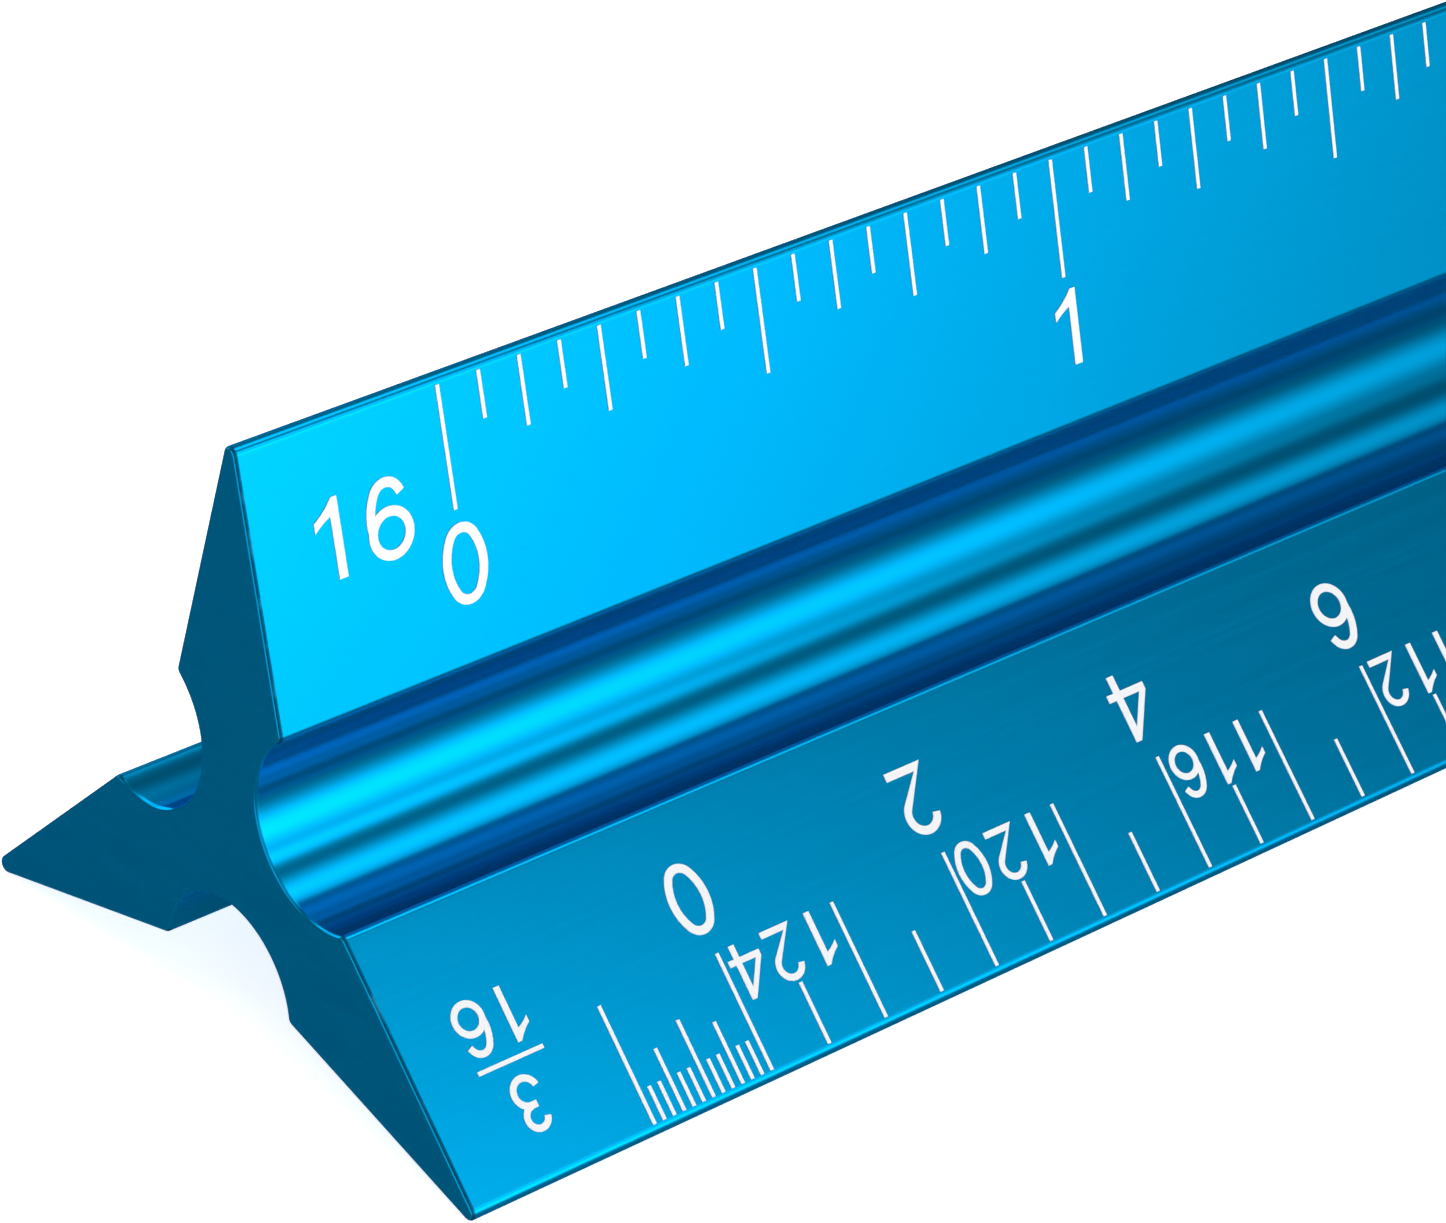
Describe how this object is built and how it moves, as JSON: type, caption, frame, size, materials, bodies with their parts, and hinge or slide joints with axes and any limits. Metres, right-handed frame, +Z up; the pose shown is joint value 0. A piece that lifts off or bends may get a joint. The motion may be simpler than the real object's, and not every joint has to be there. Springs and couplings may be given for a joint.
{
  "type": "triangular scale ruler",
  "caption": "Triangular three-arm scale ruler for drafting, with printed graduations and numerals on its six faces and a rounded groove between each pair of arms.",
  "frame": {"origin": "middle of the length, under the axis, in the plane that the two lower arm tips rest on", "axes": "+X along the ruler, to the right of a person who reads the front of the top arm; front is -Y; +Z up, through the top arm's tip"},
  "size_m": [0.32, 0.0244, 0.0212],
  "materials": {
    "anodised_aluminium": "blue anodised, satin on the scale faces and glossier in the grooves",
    "white_print": "opaque white ink, satin"
  },
  "bodies": {
    "root": {"extrusion": "anodised_aluminium", "scale_16_graduations": "white_print", "scale_16_numerals": "white_print", "scale_1_1_2_and_3_graduations": "white_print", "scale_1_1_2_divided_foot": "white_print", "scale_1_1_2_numerals": "white_print", "scale_1_2_and_1_graduations": "white_print", "scale_1_2_divided_foot": "white_print", "scale_1_2_numerals": "white_print", "scale_1_4_divided_foot": "white_print", "scale_1_4_numerals": "white_print", "scale_1_8_and_1_4_graduations": "white_print", "scale_1_8_divided_foot": "white_print", "scale_1_8_numerals": "white_print", "scale_1_divided_foot": "white_print", "scale_1_numerals": "white_print", "scale_3_16_divided_foot": "white_print", "scale_3_16_numerals": "white_print", "scale_3_32_and_3_16_graduations": "white_print", "scale_3_32_divided_foot": "white_print", "scale_3_32_numerals": "white_print", "scale_3_4_divided_foot": "white_print", "scale_3_4_numerals": "white_print", "scale_3_8_and_3_4_graduations": "white_print", "scale_3_8_divided_foot": "white_print", "scale_3_8_numerals": "white_print", "scale_3_divided_foot": "white_print", "scale_3_numerals": "white_print"}
  },
  "joints": []
}
